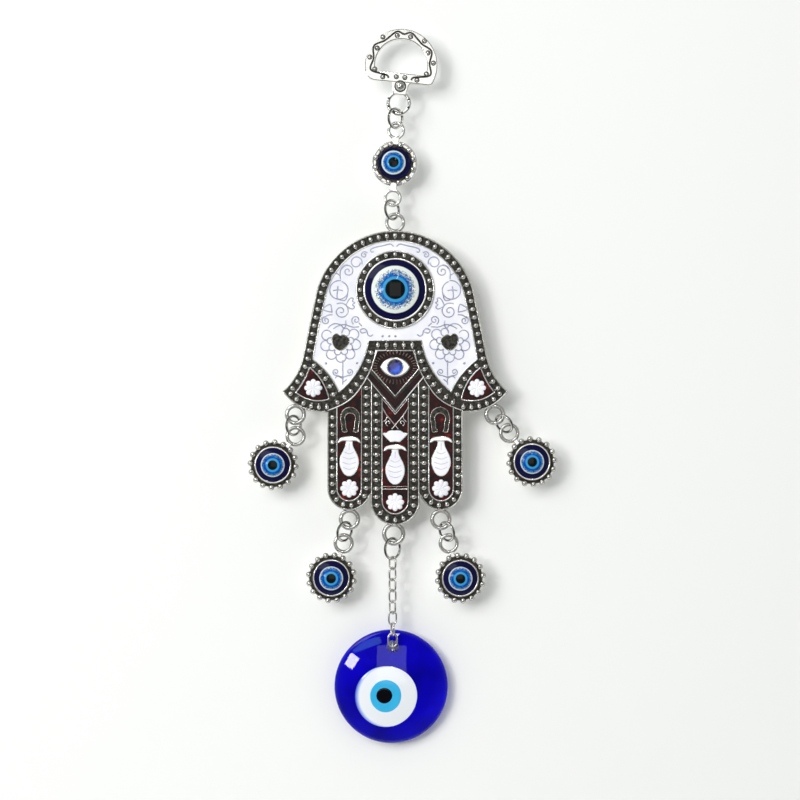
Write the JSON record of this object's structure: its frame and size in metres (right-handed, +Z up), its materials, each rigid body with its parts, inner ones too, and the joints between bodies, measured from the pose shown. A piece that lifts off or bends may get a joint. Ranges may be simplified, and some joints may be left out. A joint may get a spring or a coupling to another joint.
{
  "type": "evil eye ornament",
  "caption": "Hanging ornament: cast silver hamsa hand with enamel, round eye charms on jump rings and a glass eye bead on a short chain.",
  "frame": {"origin": "point inside the top of the hanger's opening where it rests on a nail or hook", "axes": "+Z up along the hanging ornament, -Y towards the viewer (the enamelled front), +X to the viewer's right"},
  "size_m": [0.1083, 0.013, 0.2506],
  "materials": {
    "silver_cast": "antique silver plate on a zinc casting, dark in the recesses",
    "silver_wire": "bright plated round wire",
    "white_enamel": "glossy white enamel with fine lilac-grey scrolls",
    "red_enamel": "glossy dark red enamel",
    "black_enamel": "glossy black-red enamel",
    "eye_print": "printed concentric eye in blue, white and black under gloss",
    "clear_dome": "clear cast resin dome",
    "blue_stone": "faceted foil-backed blue rhinestone",
    "cobalt_glass": "polished translucent cobalt glass",
    "white_glass": "opaque white glass, fire polished",
    "light_blue_glass": "opaque light blue glass, fire polished",
    "black_glass": "opaque black glass, fire polished"
  },
  "bodies": {
    "hanger": {"hanger_ring": "silver_cast"},
    "top_ring": {"top_jump_ring": "silver_wire"},
    "connector": {"connector_frame": "silver_cast", "connector_eye": "eye_print"},
    "middle_ring": {"middle_jump_ring": "silver_wire"},
    "hand": {"hamsa_plate": "silver_cast", "white_enamel_field": "white_enamel", "left_wing_red_enamel": "red_enamel", "right_wing_red_enamel": "red_enamel", "shield_enamel": "black_enamel", "chevron_enamel": "black_enamel", "left_finger_red_enamel": "red_enamel", "middle_finger_red_enamel": "red_enamel", "right_finger_red_enamel": "red_enamel", "white_flowers": "white_enamel", "white_fish": "white_enamel", "horseshoes": "silver_cast", "centre_eye_disc": "eye_print", "centre_eye_dome": "clear_dome", "rhinestone": "blue_stone"},
    "left_wing_ring": {"left_wing_jump_ring": "silver_wire"},
    "left_wing_charm": {"left_wing_charm_frame": "silver_cast", "left_wing_charm_eye": "eye_print"},
    "right_wing_ring": {"right_wing_jump_ring": "silver_wire"},
    "right_wing_charm": {"right_wing_charm_frame": "silver_cast", "right_wing_charm_eye": "eye_print"},
    "left_finger_ring": {"left_finger_jump_ring": "silver_wire"},
    "left_finger_charm": {"left_finger_charm_frame": "silver_cast", "left_finger_charm_eye": "eye_print"},
    "right_finger_ring": {"right_finger_jump_ring": "silver_wire"},
    "right_finger_charm": {"right_finger_charm_frame": "silver_cast", "right_finger_charm_eye": "eye_print"},
    "chain_ring": {"chain_jump_ring": "silver_wire"},
    "link_1": {"chain_link_1": "silver_wire"},
    "link_2": {"chain_link_2": "silver_wire"},
    "link_3": {"chain_link_3": "silver_wire"},
    "link_4": {"chain_link_4": "silver_wire"},
    "link_5": {"chain_link_5": "silver_wire"},
    "link_6": {"chain_link_6": "silver_wire"},
    "link_7": {"chain_link_7": "silver_wire"},
    "link_8": {"chain_link_8": "silver_wire"},
    "bead": {"bead_glass": "cobalt_glass", "bead_white": "white_glass", "bead_light_blue": "light_blue_glass", "bead_pupil": "black_glass", "hole_link_front": "silver_wire", "hole_link_back": "silver_wire", "bead_stop_ring": "silver_wire"}
  },
  "joints": [
    {"name": "top_ring_swing", "type": "hinge", "parent": "hanger", "child": "top_ring", "pos_m": [-0.00168, 0, -0.02562], "axis": [1, 0, 0], "range_deg": [-15, 60]},
    {"name": "connector_swing", "type": "hinge", "parent": "top_ring", "child": "connector", "pos_m": [-0.00248, 0, -0.03053], "axis": [0, 1, 0], "range_deg": [-45, 45]},
    {"name": "middle_ring_swing", "type": "hinge", "parent": "connector", "child": "middle_ring", "pos_m": [-0.00316, 0, -0.05769], "axis": [-1, 0, 0], "range_deg": [-40, 20]},
    {"name": "hand_swing", "type": "hinge", "parent": "middle_ring", "child": "hand", "pos_m": [-0.00306, 0, -0.0625], "axis": [0, -1, 0], "range_deg": [-40, 40]},
    {"name": "left_wing_ring_swing", "type": "hinge", "parent": "hand", "child": "left_wing_ring", "pos_m": [-0.03748, 0, -0.1339], "axis": [1, 0, 0], "range_deg": [-15, 55]},
    {"name": "left_wing_charm_swing", "type": "hinge", "parent": "left_wing_ring", "child": "left_wing_charm", "pos_m": [-0.0378, 0, -0.13798], "axis": [0, 1, 0], "range_deg": [-33, 45]},
    {"name": "right_wing_ring_swing", "type": "hinge", "parent": "hand", "child": "right_wing_ring", "pos_m": [0.03415, 0, -0.13326], "axis": [1, 0, 0], "range_deg": [-8, 60]},
    {"name": "right_wing_charm_swing", "type": "hinge", "parent": "right_wing_ring", "child": "right_wing_charm", "pos_m": [0.03721, 0, -0.13673], "axis": [0, -1, 0], "range_deg": [-35, 45]},
    {"name": "left_finger_ring_swing", "type": "hinge", "parent": "hand", "child": "left_finger_ring", "pos_m": [-0.01932, 0, -0.17056], "axis": [1, 0, 0], "range_deg": [-10, 60]},
    {"name": "left_finger_charm_swing", "type": "hinge", "parent": "left_finger_ring", "child": "left_finger_charm", "pos_m": [-0.02076, 0, -0.17503], "axis": [0, 1, 0], "range_deg": [-30, 45]},
    {"name": "right_finger_ring_swing", "type": "hinge", "parent": "hand", "child": "right_finger_ring", "pos_m": [0.01435, 0, -0.1705], "axis": [1, 0, 0], "range_deg": [-8, 60]},
    {"name": "right_finger_charm_swing", "type": "hinge", "parent": "right_finger_ring", "child": "right_finger_charm", "pos_m": [0.01616, 0, -0.17497], "axis": [0, -1, 0], "range_deg": [-30, 45]},
    {"name": "chain_ring_swing", "type": "hinge", "parent": "hand", "child": "chain_ring", "pos_m": [-0.0031, 0, -0.17605], "axis": [1, 0, 0], "range_deg": [-10, 45]},
    {"name": "link_1_swing", "type": "hinge", "parent": "chain_ring", "child": "link_1", "pos_m": [-0.0035, 0, -0.18145], "axis": [0.7071, 0.7071, 0], "range_deg": [-25, 35]},
    {"name": "link_2_swing", "type": "hinge", "parent": "link_1", "child": "link_2", "pos_m": [-0.0035, 0, -0.18518], "axis": [0.7071, -0.7071, 0], "range_deg": [-35, 35]},
    {"name": "link_3_swing", "type": "hinge", "parent": "link_2", "child": "link_3", "pos_m": [-0.0035, 0, -0.18902], "axis": [-0.7071, -0.7071, 0], "range_deg": [-35, 35]},
    {"name": "link_4_swing", "type": "hinge", "parent": "link_3", "child": "link_4", "pos_m": [-0.0035, 0, -0.19287], "axis": [-0.7071, 0.7071, 0], "range_deg": [-35, 35]},
    {"name": "link_5_swing", "type": "hinge", "parent": "link_4", "child": "link_5", "pos_m": [-0.0035, 0, -0.19673], "axis": [0.7431, 0.6691, 0], "range_deg": [-35, 35]},
    {"name": "link_6_swing", "type": "hinge", "parent": "link_5", "child": "link_6", "pos_m": [-0.0035, 0, -0.20058], "axis": [0.6428, -0.766, 0], "range_deg": [-35, 35]},
    {"name": "link_7_swing", "type": "hinge", "parent": "link_6", "child": "link_7", "pos_m": [-0.0035, 0, -0.20442], "axis": [-0.866, -0.5, 0], "range_deg": [-35, 35]},
    {"name": "link_8_swing", "type": "hinge", "parent": "link_7", "child": "link_8", "pos_m": [-0.0035, 0, -0.20827], "axis": [-0.309, 0.9511, 0], "range_deg": [-35, 35]},
    {"name": "bead_swing", "type": "hinge", "parent": "link_8", "child": "bead", "pos_m": [-0.0035, 0, -0.21063], "axis": [0, 1, 0], "range_deg": [-35, 35]}
  ]
}
